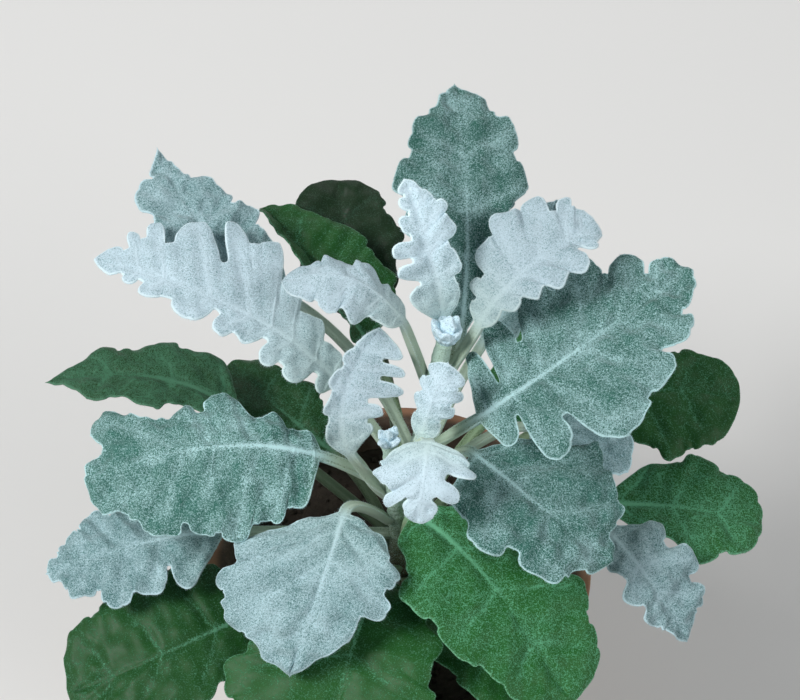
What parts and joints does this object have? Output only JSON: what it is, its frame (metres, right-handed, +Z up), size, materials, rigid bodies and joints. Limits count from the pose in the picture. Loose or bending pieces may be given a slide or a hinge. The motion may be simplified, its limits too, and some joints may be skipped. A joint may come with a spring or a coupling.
{
  "type": "potted dusty miller",
  "caption": "Bushy dusty miller with felted silver-white, sage and green lobed leaves on short stems, rooted in soil in a plain round clay pot.",
  "frame": {"origin": "centre of the pot's flat underside, where it rests", "axes": "+Z straight up along the pot's axis; -Y towards the front, from where the plant is usually seen; +X to the right seen from there"},
  "size_m": [0.2531, 0.2181, 0.252],
  "materials": {
    "green_leaf": "thinly felted, dull green",
    "sage_felt": "felted, grey-green flecks",
    "silver_felt": "felted, silver-grey",
    "white_felt": "thickly felted, nearly white",
    "stem": "downy, pale green",
    "soil": "crumbly potting soil",
    "clay": "unglazed, weathered"
  },
  "bodies": {
    "root": {"stem": "stem", "bud_main": "white_felt", "bud_front": "white_felt", "leaf_green_front_left": "green_leaf", "leaf_green_front": "green_leaf", "leaf_green_front_right": "green_leaf", "leaf_green_under": "green_leaf", "leaf_green_right_upper": "green_leaf", "leaf_green_right_lower": "green_leaf", "leaf_green_left_upper": "green_leaf", "leaf_green_left_shade": "green_leaf", "leaf_green_back_left": "green_leaf", "leaf_green_back": "green_leaf", "leaf_green_back_right": "green_leaf", "leaf_sage_left": "sage_felt", "leaf_sage_centre_right": "sage_felt", "leaf_sage_right": "sage_felt", "leaf_sage_top": "sage_felt", "leaf_silver_front": "silver_felt", "leaf_silver_low_left": "silver_felt", "leaf_silver_right_small": "silver_felt", "leaf_silver_left_back": "silver_felt", "leaf_silver_right_under": "silver_felt", "leaf_silver_back": "silver_felt", "leaf_white_left": "white_felt", "leaf_white_right": "white_felt", "leaf_white_up": "white_felt", "leaf_white_curled": "white_felt", "leaf_white_centre": "white_felt", "leaf_white_rolled": "white_felt", "leaf_white_front": "white_felt", "soil": "soil", "pot": "clay"}
  },
  "joints": []
}
